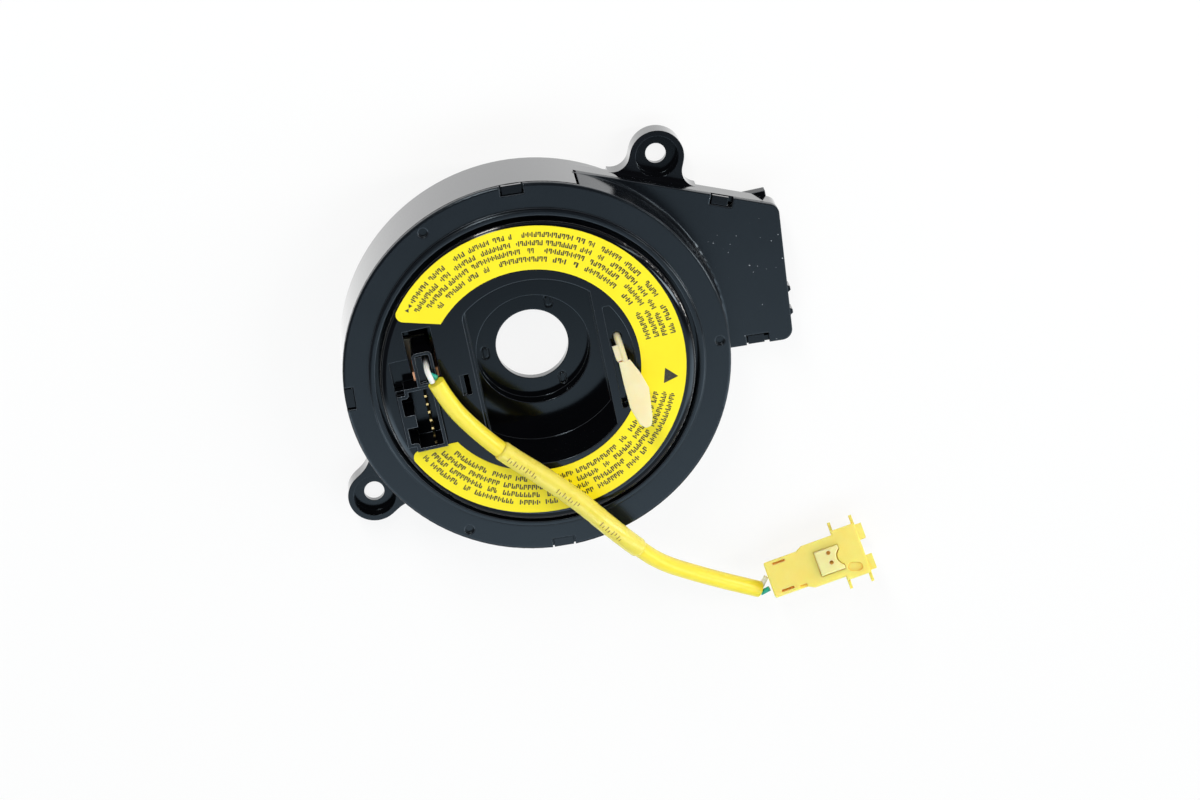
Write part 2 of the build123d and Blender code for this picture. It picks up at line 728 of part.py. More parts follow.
def label():
    """C-shaped sticker, open on the side of the sockets, with rounded outer corners."""
    sheet = Pos(*label_centre) * annulus(label_inner, label_outer)
    x, y = label_end_high
    slope = math.tan(math.radians(label_end_slope))
    reach = 2 * face_radius
    gap = Polygon((0, y + slope * (0 - x)), (-reach, y + slope * (-reach - x)), (-reach, label_low_edge),
                  (0, label_low_edge), align=None)
    sheet -= gap
    outer = [vertex for vertex in sheet.vertices()
             if math.dist((vertex.X, vertex.Y), label_centre) > label_outer - seat_gap]
    sheet = fillet(outer, label_corner)
    return slab(sheet, face_height, face_height + label_thickness)


# ---------------------------------------------------------------- lead and plug
def route_radii(points):
    """Radius of the arc at each inner point: its share of the shorter run, over the half turn's tangent."""
    radii = []
    for before, corner, after in zip(points, points[1:], points[2:]):
        run_in = Vector(*corner) - Vector(*before)
        run_out = Vector(*after) - Vector(*corner)
        half_turn = math.radians(run_in.get_angle(run_out) / 2)
        radii.append(arc_share * min(run_in.length, run_out.length) / math.tan(half_turn))
    return radii


def tube(path, diameter):
    """A round tube along a path of straight runs and tangent arcs."""
    return sweep((path ^ 0) * Circle(diameter / 2), path=path)


def smooth_path(points):
    """Straight runs joined by tangent arcs through the points of a route."""
    return FilletPolyline(*points, radius=route_radii(points))


def midpoint(a, b):
    """The point half way between two points."""
    return tuple((p + q) / 2 for p, q in zip(a, b))


def lead_lengths():
    """The route in three lengths that meet at the middle of a straight run."""
    first_joint = midpoint(lead_route[marker_first_index - 1], lead_route[marker_first_index])
    second_joint = midpoint(lead_route[marker_last_index - 1], lead_route[marker_last_index])
    first = lead_route[:marker_first_index] + (first_joint,)
    middle = (first_joint,) + lead_route[marker_first_index:marker_last_index] + (second_joint,)
    last = (second_joint,) + lead_route[marker_last_index:]
    return first, middle, last


def plug_place():
    """The plug's own frame: X along the plug from its wire end, Z square to its top."""
    roll = math.radians(plug_roll)
    lift = plug_head_width / 2 * math.sin(roll) + plug_height / 2 * math.cos(roll)
    rolled = Rot(-plug_roll, 0, 0) * Pos(0, 0, -plug_height / 2)
    return Pos(*plug_origin, lift) * Rot(0, 0, plug_turn) * rolled


def plug_point(along, across, height):
    """A point of the plug's own frame, in the frame of the part."""
    spot = plug_place() * Pos(along, across, height)
    return tuple(spot.position)


def across_and_up(run):
    """Two directions square to a run: level across it, and upward."""
    across = run.cross(Vector(0, 0, 1)).normalized()
    return across, across.cross(run).normalized()


def wire_near(side, well_y, rise):
    """Bare conductor from the floor of the tower, over its rim and into the sleeve."""
    start = Vector(*lead_route[0])
    run = (Vector(*lead_route[1]) - start).normalized()
    across, up = across_and_up(run)
    end = start + (across + up) * (side * wire_offset) - run * wire_end_gap
    x = tower_right - tower_wall - wire_well_inset
    low = (x, well_y, tower_floor_height)
    bend = (x, well_y, end.Z + rise)
    return tube(FilletPolyline(low, bend, tuple(end), radius=wire_bend_radius), wire_diameter)


def wire_far(side):
    """Bare conductor from the sleeve's outer end to the back of the plug."""
    end = Vector(*lead_route[-1])
    run = (end - Vector(*lead_route[-2])).normalized()
    goal = Vector(*plug_point(0, side * plug_contact_pitch / 2, plug_height / 2))
    apart = goal - Vector(*plug_point(0, 0, plug_height / 2))
    apart = (apart - run * apart.dot(run)).normalized()
    start = end + apart * wire_apart + run * wire_end_gap
    return tube(Line(start, goal - (goal - start).normalized() * wire_end_gap), wire_diameter)


def wire(side, well_y, rise):
    """One conductor, bare of sleeve at both ends."""
    return Compound(children=[*wire_near(side, well_y, rise).solids(), *wire_far(side).solids()])


def mirrored(points):
    """A half outline and its mirror image about the long axis of the plug."""
    return list(points) + [(x, -y) for x, y in reversed(points)]


def lead_connector():
    half_rear = plug_rear_width / 2
    half_body = plug_body_width / 2
    half_head = plug_head_width / 2
    outline = mirrored(((0, half_rear), (plug_rear_length, half_rear), (plug_body_start, half_body),
                        (plug_body_end, half_body)))
    plan = Polygon(*outline, align=None)
    rear = [vertex for vertex in plan.vertices() if vertex.X < seat_gap]
    body = slab(fillet(rear, plug_edge_round), 0, plug_height)
    body += slab(rectangle(plug_body_end, plug_head_end, -half_head, half_head), 0, plug_height)
    body = chamfer(body.edges().group_by(Axis.Z)[-1], plug_edge_round / 2)
    side_low = plug_height / 2 - plug_ear_reach / 2
    for x in (plug_body_end, plug_head_end - plug_ear_thickness):
        body += block(x, x + plug_ear_thickness, -half_head - plug_ear_reach, half_head + plug_ear_reach,
                      side_low, side_low + plug_ear_reach)
    lip_side = half_head - plug_wall / 2
    body += block(plug_head_end, plug_head_end + plug_front_lip, plug_front_gap / 2, lip_side,
                  plug_wall / 2, plug_height - plug_wall / 2)
    body += block(plug_head_end, plug_head_end + plug_front_lip, -lip_side, -plug_front_gap / 2,
                  plug_wall / 2, plug_height - plug_wall / 2)
    room_half = half_body - plug_wall
    body -= block(plug_body_start + plug_wall, plug_head_end + plug_front_lip + cut_margin,
                  -room_half, room_half, plug_floor, plug_roof)
    for side in (1, -1):
        y = side * plug_contact_pitch / 2
        bore = Pos(plug_contact_start, y, plug_height / 2) * Rot(0, 90, 0) * Circle(plug_contact_radius + seat_gap)
        body -= extrude(bore, plug_body_start, dir=(1, 0, 0))
        slot_y = side * (half_rear - plug_wall)
        body -= block(plug_slot_start, plug_slot_start + plug_slot_length, slot_y - plug_slot_width / 2,
                      slot_y + plug_slot_width / 2, plug_height - plug_wall, plug_height + cut_margin)
    body -= slab(lock_plan(seat_gap), plug_height - plug_lock_seat, plug_height + cut_margin)
    body -= block(*plug_notch, -half_rear - cut_margin, plug_notch_depth - half_rear,
                  plug_height - plug_wall, plug_height + cut_margin)
    tongue = Pos(*plug_tongue_place) * Rot(0, 0, plug_tongue_turn) * SlotOverall(*plug_tongue_size)
    body -= slab(tongue, plug_height - plug_tongue_drop, plug_height + cut_margin)
    return plug_place() * body


def lock_plan(grow=0.0):
    """Outline of the locking insert: a block with a hollow front end."""
    half = plug_lock_width / 2 + grow
    end = plug_lock_start + plug_lock_length + grow
    plan = rectangle(plug_lock_start - grow, end, -half, half) - Pos(end + plug_lock_hollow, 0) * Circle(
        2 * plug_lock_hollow - grow)
    return Pos(0, plug_lock_shift) * plan


def connector_lock():
    body = slab(lock_plan(), plug_height - plug_lock_seat, plug_height + plug_lock_height)
    body = chamfer(body.edges().group_by(Axis.Z)[-1], plug_edge_round / 2)
    for y in plug_lock_holes:
        body -= Pos(plug_lock_start + plug_lock_hole_inset, y, 0) * slab(
            Circle(plug_lock_hole_radius), plug_height, plug_height + plug_lock_height + cut_margin)
    return plug_place() * body


def connector_contacts():
    """Two round contacts in their bores, open toward the mouth of the plug."""
    bodies = []
    length = plug_body_end - plug_contact_start
    for side in (1, -1):
        y = side * plug_contact_pitch / 2
        place = plug_place() * Pos(plug_contact_start, y, plug_height / 2) * Rot(0, 90, 0)
        pin = Cylinder(plug_contact_radius, length, align=(Align.CENTER, Align.CENTER, Align.MIN))
        bore = Pos(0, 0, length / 2) * Cylinder(plug_contact_radius / 2, length)
        bodies.append(place * (pin - bore))
    return Compound(children=bodies)


# ---------------------------------------------------------------- locking pin
def slope_plane(origin, heading, slope):
    """A plane whose X climbs at a slope along a heading, with Y level to its left."""
    level = polar(math.cos(math.radians(slope)), heading)
    climb = (level[0], level[1], math.sin(math.radians(slope)))
    left = (*polar(1, heading + 90), 0)
    return Plane(origin=origin, x_dir=climb, z_dir=Vector(*climb).cross(Vector(*left)))


def lock_pin():
    foot = (*pin_place, case_floor + pin_tip_gap)
    knee = (*pin_place, pin_stem_top)
    stem = tube(FilletPolyline(foot, knee, pin_flag_start, radius=pin_neck), 2 * pin_radius)
    rise = Vector(*pin_flag_start) - Vector(*knee)
    heading = math.degrees(math.atan2(rise.Y, rise.X))
    slope = math.degrees(math.asin(rise.Z / rise.length))
    fin = Polygon(*pin_fin_outline, align=None)
    flag = Polygon(*pin_flag_outline, align=None)
    flag = fillet([vertex for vertex in flag.vertices() if vertex.X > pin_flag_tip], pin_flag_round)
    half = pin_flag_thickness / 2
    fin_plane = slope_plane(knee, heading, slope)
    flag_plane = slope_plane(pin_flag_start, pin_flag_heading, pin_flag_slope)
    body = stem + fin_plane * slab(fin, -half, half)
    return body + flag_plane * slab(flag, -half, half)


def build():
    first, middle, last = lead_lengths()
    parts = {
        "stator_housing": stator_housing(),
        "front_cover": front_cover(),
        "ribbon_cable": ribbon_cable(),
        "ribbon_terminal_block": ribbon_terminal_block(),
        "column_connector": shroud(column_box, shroud_top),
        "column_pins": shroud_pins(column_box, column_pin_columns),
        "feed_connector": shroud(feed_box, shroud_top),
        "feed_pins": shroud_pins(feed_box, feed_pin_columns),
        "rotor_top": rotor_top(),
        "ribbon_spool": ribbon_spool(),
        "rotor_terminal_block": rotor_terminal_block(),
        "switch_socket": switch_socket(),
        "switch_pins": switch_pins(),
        "lead_tower": lead_tower(),
        "lead_terminals": lead_terminals(),
        "label": label(),
        "lead_sleeve": tube(smooth_path(first), sleeve_diameter),
        "marker_tube": tube(smooth_path(middle), marker_diameter),
        "lead_sleeve_outer": tube(smooth_path(last), sleeve_diameter),
        "wire_white": wire(1, wire_white_y, wire_white_rise),
        "wire_green": wire(-1, wire_green_y, wire_green_rise),
        "lead_connector": lead_connector(),
        "connector_lock": connector_lock(),
        "connector_contacts": connector_contacts(),
        "lock_pin": lock_pin(),
    }
    return parts


os.makedirs("parts", exist_ok=True)
for name, shape in build().items():
    export_step(shape, f"parts/{name}.step")
print("arc radii of the lead:", [round(radius, 1) for radius in route_radii(lead_route)])
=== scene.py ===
# %% [markdown]
# # Dressing a steering clock spring
#
# A clock spring sits behind the steering wheel of a car. Its case stays with the column, its face
# turns with the wheel, and a flat cable wound inside joins the two. The solids are already in
# place, and this lesson gives them their looks: first the camera, then the surfaces, then the
# pieces that are better made as curves and meshes (the lead and the print), and last the table
# and the light. Numbers are millimetres unless they say otherwise, and `MM` turns them into
# Blender's metres.

# %% Load the solids
import math

import bmesh
import bpy
import numpy as np
from mathutils import Euler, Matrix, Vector


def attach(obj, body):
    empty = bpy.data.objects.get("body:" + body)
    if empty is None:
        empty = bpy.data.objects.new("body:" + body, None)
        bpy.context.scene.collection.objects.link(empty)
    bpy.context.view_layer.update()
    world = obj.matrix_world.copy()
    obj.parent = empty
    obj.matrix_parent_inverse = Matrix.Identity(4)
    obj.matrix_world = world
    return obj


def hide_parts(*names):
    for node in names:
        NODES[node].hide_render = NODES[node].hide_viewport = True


MM = 0.001
FACE = 24.2      # height of the turning face
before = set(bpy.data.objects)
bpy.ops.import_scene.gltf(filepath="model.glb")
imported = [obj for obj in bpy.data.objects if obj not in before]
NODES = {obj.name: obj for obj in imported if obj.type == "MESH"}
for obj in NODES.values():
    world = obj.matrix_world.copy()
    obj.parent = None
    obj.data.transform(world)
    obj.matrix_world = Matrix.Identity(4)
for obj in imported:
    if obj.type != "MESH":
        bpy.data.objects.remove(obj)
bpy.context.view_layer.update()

# %% [markdown]
# ## Camera
#
# The part lies on its back and is seen from above and a little behind, so that the face, the well
# and one side of the case show together. A short lens close by would swell the near parts. A long
# lens from about a metre keeps the circles nearly true.

# %% Camera
CAMERA_PLACE = (-0.003928, 0.335933, 0.912913)      # metres
CAMERA_TURN = (-20.6775, -5.4353, -11.1572)         # degrees round X, Y, Z
CAMERA_LENS = 111.847
FILM_WIDTH = 36.0

camera_data = bpy.data.cameras.new("camera")
camera_data.lens = CAMERA_LENS
camera_data.sensor_width = FILM_WIDTH
camera_data.clip_start = 0.05
camera_data.clip_end = 20.0
camera = bpy.data.objects.new("camera", camera_data)
camera.location = CAMERA_PLACE
camera.rotation_euler = Euler([math.radians(a) for a in CAMERA_TURN], "XYZ")
bpy.context.scene.collection.objects.link(camera)
bpy.context.scene.camera = camera
bpy.context.scene.view_settings.view_transform = "Standard"

upright = Vector((0.0, 0.0, 1.0))
camera_tilt = upright.angle(camera.rotation_euler.to_matrix() @ upright)
print("camera %.2f m away, tilted %.0f degrees" % (camera.location.length, math.degrees(camera_tilt)))

# %% [markdown]
# ## A short hand for shader nodes
#
# A finish is a tree of nodes. It could be wired by hand in the shader editor, but then nobody
# could read it here. `Graph` adds a node and fills its sockets in one call: a socket gets a plain
# value or the output of another node.


# %% Node trees
class Graph:
    """A node tree whose nodes are added and wired in one call each."""

    def __init__(self, tree, output_kind):
        self.tree = tree
        self.tree.nodes.clear()
        self.output = self.put(output_kind)

    def put(self, kind, sockets=None, **fields):
        """Adds a node of a kind, sets its fields, then fills its sockets by name or number."""
        node = self.tree.nodes.new("ShaderNode" + kind)
        for field, value in fields.items():
            setattr(node, field, value)
        for key, value in (sockets or {}).items():
            self.set(node.inputs[key], value)
        return node

    def set(self, socket, value):
        """Links an output to a socket, or gives the socket a plain value."""
        if isinstance(value, bpy.types.NodeSocket):
            self.tree.links.new(value, socket)
        else:
            socket.default_value = value

    def math(self, operation, *values, clamp=False):
        """The result of one Math node."""
        return self.put("Math", dict(enumerate(values)), operation=operation, use_clamp=clamp).outputs[0]

    def place(self, scale=1.0 / MM):
        """The point being shaded, in the part's own frame: metres times scale."""
        where = self.put("TexCoord").outputs["Object"]
        return self.put("VectorMath", {0: where, "Scale": scale}, operation="SCALE").outputs[0]

    def noise(self, vector, scale, detail=2.0, rough=0.5, stretch=None):
        """Noise between 0 and 1 with scale cells to a unit of the vector, whose axes stretch multiplies."""
        if stretch is not None:
            vector = self.put("VectorMath", {0: vector, 1: stretch}, operation="MULTIPLY").outputs[0]
        sockets = {"Vector": vector, "Scale": scale, "Detail": detail, "Roughness": rough}
        return self.put("TexNoise", sockets).outputs["Fac"]

    def ramp(self, value, low, high, at_low=0.0, at_high=1.0, smooth=True):
        """The value carried from low..high to at_low..at_high, on an S or a straight line, held outside."""
        sockets = {"Value": value, "From Min": low, "From Max": high, "To Min": at_low, "To Max": at_high}
        kind = "SMOOTHSTEP" if smooth else "LINEAR"
        return self.put("MapRange", sockets, interpolation_type=kind).outputs["Result"]

    def mix(self, factor, first, second):
        """First times (1 - factor) plus second times factor; a colour is an output or (r, g, b)."""
        node = self.put("Mix", {0: factor}, data_type="RGBA")
        for socket, value in ((node.inputs[6], first), (node.inputs[7], second)):
            self.set(socket, value if isinstance(value, bpy.types.NodeSocket) else (*value, 1.0))
        return node.outputs[2]


# %% [markdown]
# ## A material
#
# Mouldings have no knife edges, though the solids do. The rounding could be cut into every mesh;
# a Bevel node bends the normal instead, which costs no faces and leaves the outline as it is.


# %% Materials
class Finish(Graph):
    """The nodes of a new material."""

    def __init__(self, name):
        self.material = bpy.data.materials.new(name)
        self.material.use_nodes = True
        super().__init__(self.material.node_tree, "OutputMaterial")

    def bump(self, height, distance, under=None):
        """A normal tilted by the slope of height times distance (metres), on top of another normal."""
        sockets = {"Height": height, "Distance": distance, "Strength": 1.0}
        if under is not None:
            sockets["Normal"] = under
        return self.put("Bump", sockets).outputs["Normal"]

    def edge(self, radius):
        """A normal that rounds sharp edges by a radius."""
        return self.put("Bevel", {"Radius": radius * MM}, samples=12).outputs["Normal"]

    def surface(self, **sockets):
        """Ends the tree with the Principled surface; in socket names _ stands for a blank."""
        spelled = {key.replace("_", " "): value for key, value in sockets.items()}
        self.set(self.output.inputs[0], self.put("BsdfPrincipled", spelled).outputs[0])
        return self.material


def round_the_bore(g, point):
    """Radius, angle and height of a point.

    The radius is the root of x squared plus y squared, and the angle runs from +X.
    """
    x, y, z = g.put("SeparateXYZ", {"Vector": point}).outputs
    squares = g.math("ADD", g.math("MULTIPLY", x, x), g.math("MULTIPLY", y, y))
    return g.math("SQRT", squares), g.math("ARCTAN2", y, x), z


# %% [markdown]
# ## Black mouldings
#
# Case, cover and turning side are moulded in black plastic. The flat top of the cover is fine
# grained with a soft sheen; the standing walls are polished and mirror the table. Images could
# paint all this, but they need unwrapped faces. Here the finish follows from where a face looks
# and lies, so that it fits any solid. Hairlines run round the bore where the part was rubbed,
# and dust lies on the box. Edges are painted paler: a painted highlight where rounded edges catch the light.

# %% Marks of use
DUST_GREY = (0.42, 0.44, 0.47)
# a pale grey painted on edges: a painted highlight where rounded edges catch the light
EDGE_HIGHLIGHT_GREY = (0.15, 0.165, 0.19)


def level_faces(g):
    """1 where a face looks up and 0 where it stands: a ramp over the upward part of its normal."""
    upward = g.put("SeparateXYZ", {"Vector": g.put("TexCoord").outputs["Normal"]}).outputs[2]
    return g.ramp(upward, low=0.75, high=0.96)


def hairlines(g, radius, angle):
    """Arcs round the bore: noise that changes fast with the radius and slowly with the angle."""
    pulled = g.put("CombineXYZ", {"X": g.math("MULTIPLY", radius, 2.2), "Y": g.math("MULTIPLY", angle, 0.9)})
    return g.ramp(g.noise(pulled.outputs[0], scale=1.0, detail=3.0, rough=0.7), low=0.62, high=0.82)


def dust_specks(g, point, clean=47.0, dusty=52.0):
    """The peaks of a noise, none below x = clean and all from x = dusty."""
    across = g.put("SeparateXYZ", {"Vector": point}).outputs[0]
    peaks = g.ramp(g.noise(point, scale=1.5, detail=0.0), low=0.835, high=0.855)
    return g.math("MULTIPLY", peaks, g.ramp(across, clean, dusty))


def painted_edge_highlight(g, rounded, cloud, edge_highlight):
    """A painted highlight on edges: edge_highlight times a patchy share, none while the two normals agree, all
    at a dot product of 0.9.
    """
    own = g.put("NewGeometry").outputs["Normal"]
    together = g.put("VectorMath", {0: rounded, 1: own}, operation="DOT_PRODUCT").outputs["Value"]
    edge_share = g.math("MULTIPLY", g.ramp(together, low=0.985, high=0.90), edge_highlight)
    return g.math("MULTIPLY", edge_share, g.ramp(cloud, low=0.3, high=0.6, at_low=0.5, at_high=1.0))


def rim_drop(g, radius, height, start, bend, above):
    """Minus (radius - start) squared over twice the bend, outside start and above a height only."""
    beyond = g.math("MAXIMUM", g.math("SUBTRACT", radius, start), 0.0)
    drop = g.math("MULTIPLY", g.math("MULTIPLY", beyond, beyond), -0.5 / bend)
    return g.math("MULTIPLY", drop, g.ramp(height, above, above + 0.1))


# %% [markdown]
# ## One recipe for four blacks
#
# The four black mouldings came out of different moulds, so they differ in gloss and grain and not
# in kind. One recipe with named measures keeps them alike. The face's rim is a rounded shoulder,
# which catches a long highlight: a height that falls away outside `start` bends the normal there.
# Polished walls get a clear coat on top.

# %% Black plastics
CLOUD_TONES = (0.8, 1.25)      # shares of the colour between which a slow noise moves it
CLOUD_ROUGH = 0.25             # share by which the same noise changes the roughness
RUB_TONE = 2.5                 # how much more the hairlines show in tone than in roughness
RUB_GAIN, RUB_ADD = 3.0, 0.01  # what makes the colour of a hairline from the plastic's
SKY_TINT = (0.70, 0.86, 1.0, 1.0)


def black_plastic(name, colour, flat, wall, grain, rub, edge, edge_highlight, shine, dust=0.0, polish=False,
                  shoulder=None):
    """Roughness runs from wall to flat as a face turns up, plus rub on the hairlines.

    grain is the height of the level faces' texture; edge rounds; edge_highlight paints a paler
    highlight on edges; dust and rub lighten; shine is the mirror strength; polish coats standing
    walls; shoulder is (start, bend, above) of rim_drop.
    """
    g = Finish(name)
    point = g.place()
    radius, angle, height = round_the_bore(g, point)
    level = level_faces(g)
    cloud = g.noise(point, scale=0.06, detail=4.0)
    arcs = g.math("MULTIPLY", hairlines(g, radius, angle), level)

    uneven = g.math("MULTIPLY", g.math("SUBTRACT", cloud, 0.5), CLOUD_ROUGH)
    rough = g.math("MULTIPLY", g.ramp(level, 0.0, 1.0, wall, flat), g.math("ADD", 1.0, uneven))
    rough = g.math("ADD", rough, g.math("MULTIPLY", arcs, rub), clamp=True)

    rounded = g.edge(edge)
    tone = g.mix(cloud, *(tuple(c * share for c in colour) for share in CLOUD_TONES))
    rub_colour = tuple(c * RUB_GAIN + RUB_ADD for c in colour)
    tone = g.mix(g.math("MULTIPLY", arcs, RUB_TONE * rub), tone, rub_colour)
    if dust:
        tone = g.mix(g.math("MULTIPLY", dust_specks(g, point), dust), tone, DUST_GREY)
    # edges painted paler: a painted highlight where rounded edges catch the light
    tone = g.mix(painted_edge_highlight(g, rounded, cloud, edge_highlight), tone, EDGE_HIGHLIGHT_GREY)

    texture = g.noise(point, scale=5.5, detail=2.0)
    normal = g.bump(texture, g.math("MULTIPLY", level, grain * MM), under=rounded)
    if shoulder is not None:
        normal = g.bump(rim_drop(g, radius, height, *shoulder), MM, under=normal)
    coat = g.math("SUBTRACT", 1.0, level) if polish else 0.0
    return g.surface(Base_Color=tone, Roughness=rough, IOR=1.5, Normal=normal, Specular_IOR_Level=shine,
                     Specular_Tint=SKY_TINT, Coat_Weight=coat, Coat_Roughness=0.09, Coat_IOR=1.7)


cover_black = black_plastic("cover_black", (0.004, 0.005, 0.007), flat=0.24, wall=0.20, grain=0.006, rub=0.06,
                            edge=0.45, edge_highlight=0.25, shine=0.40, dust=0.8)
case_black = black_plastic("case_black", (0.003, 0.003, 0.004), flat=0.14, wall=0.05, grain=0.002, rub=0.04,
                           edge=0.2, edge_highlight=0.0, shine=0.35, polish=True)
rotor_black = black_plastic("rotor_black", (0.002, 0.002, 0.003), flat=0.10, wall=0.12, grain=0.001, rub=0.02,
                            edge=0.3, edge_highlight=0.35, shine=0.38, polish=True, shoulder=(38.7, 1.25, FACE - 1.2))
socket_black = black_plastic("socket_black", (0.002, 0.002, 0.003), flat=0.16, wall=0.10, grain=0.004, rub=0.03,
                             edge=0.3, edge_highlight=0.9, shine=0.35)
print("black plastics:", [m.name for m in (cover_black, case_black, rotor_black, socket_black)])

# %% [markdown]
# ## Sticker and ink
#
# The sticker is a yellow printed film, glossier than the plastic and slightly uneven. The ink has
# thinned in places. A picture of the print would tie it to one image size, so the ink is a
# material for plates made below.


# %% Film and ink
def yellow_film(name):
    """Two near yellows mixed by a slow noise, with a few darker spots painted as the shade of dents, and fine
    waves.
    """
    g = Finish(name)
    point = g.place()
    cloud = g.noise(point, scale=0.12, detail=3.0)
    # darker spots: painted shade standing in for small dents in the film
    dent_shade = g.ramp(g.noise(point, scale=2.3, detail=1.0), low=0.78, high=0.84, at_low=0.0, at_high=0.25)
    tone = g.mix(cloud, (0.93, 0.76, 0.006), (0.98, 0.83, 0.012))
    tone = g.mix(dent_shade, tone, (0.45, 0.38, 0.02))
    rough = g.math("ADD", 0.30, g.math("MULTIPLY", cloud, 0.12))
    waves = g.bump(g.noise(point, scale=9.0, detail=2.0), 0.006 * MM)
    return g.surface(Base_Color=tone, Roughness=rough, Normal=waves, Specular_IOR_Level=0.3)


def print_ink(name, solid, thin):
    """The solid colour, turning to the thin one where a noise is high."""
    g = Finish(name)
    wear = g.ramp(g.noise(g.place(), scale=1.7, detail=3.0), low=0.45, high=0.75)
    return g.surface(Base_Color=g.mix(wear, solid, thin), Roughness=0.45)


sticker_film = yellow_film("sticker_film")
ink = print_ink("print_ink", (0.020, 0.016, 0.008), (0.06, 0.05, 0.015))
tube_ink = print_ink("tube_ink", (0.20, 0.10, 0.02), (0.45, 0.28, 0.04))
print("film and inks:", [m.name for m in (sticker_film, ink, tube_ink)])

# %% [markdown]
# ## Vinyl and pale plastics
#
# The lead is soft vinyl. The plug, its lock and the locking pin are pale mouldings that let light
# in, so they look warm and their slots glow orange. Scattering alone is noisy in such small
# slots. So the glow is painted: an occlusion node, which finds how much of the sky a point sees,
# paints a deeper orange where little sky is seen, at little cost.

# %% Soft plastics
SLOT_REACH = 1.6                   # how far a point looks for the walls of a slot
LIGHT_REACH = (1.0, 0.65, 0.22)    # how far red, green and blue travel inside, as shares
SMEAR = 0.25                       # share of dark in a streak
SOFT_UNEVEN = 0.15                 # how much the roughness varies
SOFT_GRAIN = 0.008                 # height of the texture


def soft_plastic(name, dark, light, rough, glow, scatter, edge=0.2, slot_glow=None):
    """Dark and light mixed by noise, smeared back to dark, and to slot_glow where little sky is seen: a painted
    glow in the slots' shade.

    glow is the share of light scattered inside and scatter how far it travels.
    """
    g = Finish(name)
    point = g.place()
    cloud = g.noise(point, scale=0.22, detail=3.0)
    smear = g.noise(point, scale=0.5, detail=4.0, rough=0.6, stretch=(1.0, 0.35, 1.0))
    smear = g.math("MULTIPLY", g.ramp(smear, low=0.45, high=0.75), SMEAR)
    tone = g.mix(smear, g.mix(cloud, dark, light), dark)
    # painted glow: a deeper orange painted where little sky is seen, standing in for light scattered through
    # the plastic into the slots
    if slot_glow is not None:
        occlusion = g.put("AmbientOcclusion", {"Distance": SLOT_REACH * MM}, samples=8, only_local=True)
        tone = g.mix(g.ramp(occlusion.outputs["AO"], low=0.25, high=0.80), slot_glow, tone)
    uneven = g.math("MULTIPLY", g.math("SUBTRACT", cloud, 0.5), SOFT_UNEVEN)
    roughness = g.math("ADD", rough, uneven)
    normal = g.bump(g.noise(point, scale=6.0, detail=2.0), SOFT_GRAIN * MM, under=g.edge(edge))
    return g.surface(Base_Color=tone, Roughness=roughness, Normal=normal, Subsurface_Weight=glow,
                     Subsurface_Radius=LIGHT_REACH, Subsurface_Scale=scatter * MM)


sleeve_vinyl = soft_plastic("sleeve_vinyl", (0.88, 0.70, 0.030), (0.96, 0.81, 0.060),
                            rough=0.34, glow=0.20, scatter=1.2)
marker_vinyl = soft_plastic("marker_vinyl", (0.90, 0.70, 0.075), (0.96, 0.80, 0.140),
                            rough=0.28, glow=0.25, scatter=1.5)
plug_plastic = soft_plastic("plug_plastic", (0.97, 0.74, 0.140), (0.99, 0.84, 0.230),
                            rough=0.36, glow=0.60, scatter=3.0, slot_glow=(0.98, 0.60, 0.05))
lock_plastic = soft_plastic("lock_plastic", (0.98, 0.82, 0.330), (0.99, 0.88, 0.430),
                            rough=0.36, glow=0.60, scatter=3.0, slot_glow=(0.98, 0.60, 0.08))
pin_plastic = soft_plastic("pin_plastic", (0.95, 0.76, 0.400), (0.98, 0.87, 0.600),
                           rough=0.36, glow=0.50, scatter=2.5, edge=0.3, slot_glow=(0.90, 0.50, 0.10))
ivory_plastic = soft_plastic("ivory_plastic", (0.55, 0.50, 0.38), (0.66, 0.61, 0.48),
                             rough=0.45, glow=0.1, scatter=1.0)
white_insulation = soft_plastic("white_insulation", (0.80, 0.80, 0.77), (0.92, 0.92, 0.90),
                                rough=0.32, glow=0.2, scatter=0.6)
green_insulation = soft_plastic("green_insulation", (0.01, 0.36, 0.28), (0.03, 0.52, 0.40),
                                rough=0.32, glow=0.1, scatter=0.6)
print("soft plastics:", [m.name for m in (sleeve_vinyl, marker_vinyl, plug_plastic, lock_plastic, pin_plastic,
                                           ivory_plastic, white_insulation, green_insulation)])

# %% [markdown]
# ## Metal and flat cable
#
# Pins are gold plated, the strips beside the tower are bare copper alloy, and both were drawn or
# rolled, which leaves streaks. The flat cable in the case is copper tracks between two films;
# bands of colour by height do for it, since it hides under the cover.


# %% Metals and ribbon
def rolled_metal(name, dark, light, rough):
    """Dark and light mixed by a noise pulled long along Z, which also roughens and dents."""
    g = Finish(name)
    streak = g.noise(g.place(), scale=3.0, detail=3.0, stretch=(2.0, 2.0, 0.3))
    return g.surface(Base_Color=g.mix(streak, dark, light), Metallic=1.0,
                     Roughness=g.ramp(streak, low=0.2, high=0.8, at_low=rough, at_high=rough + 0.15),
                     Normal=g.bump(streak, 0.01 * MM, under=g.edge(0.08)))


def ribbon_foil(name, track_pitch=0.8):
    """Film and copper in turn: the height folded back and forth over a pitch, cut in the middle."""
    g = Finish(name)
    point = g.place()
    height = g.put("SeparateXYZ", {"Vector": point}).outputs[2]
    track = g.ramp(g.math("PINGPONG", height, track_pitch), low=0.35, high=0.45)
    tone = g.mix(track, (0.70, 0.68, 0.62), (0.55, 0.25, 0.10))
    rough = g.ramp(g.noise(point, scale=0.6), low=0.3, high=0.7, at_low=0.25, at_high=0.4)
    return g.surface(Base_Color=tone, Roughness=rough)


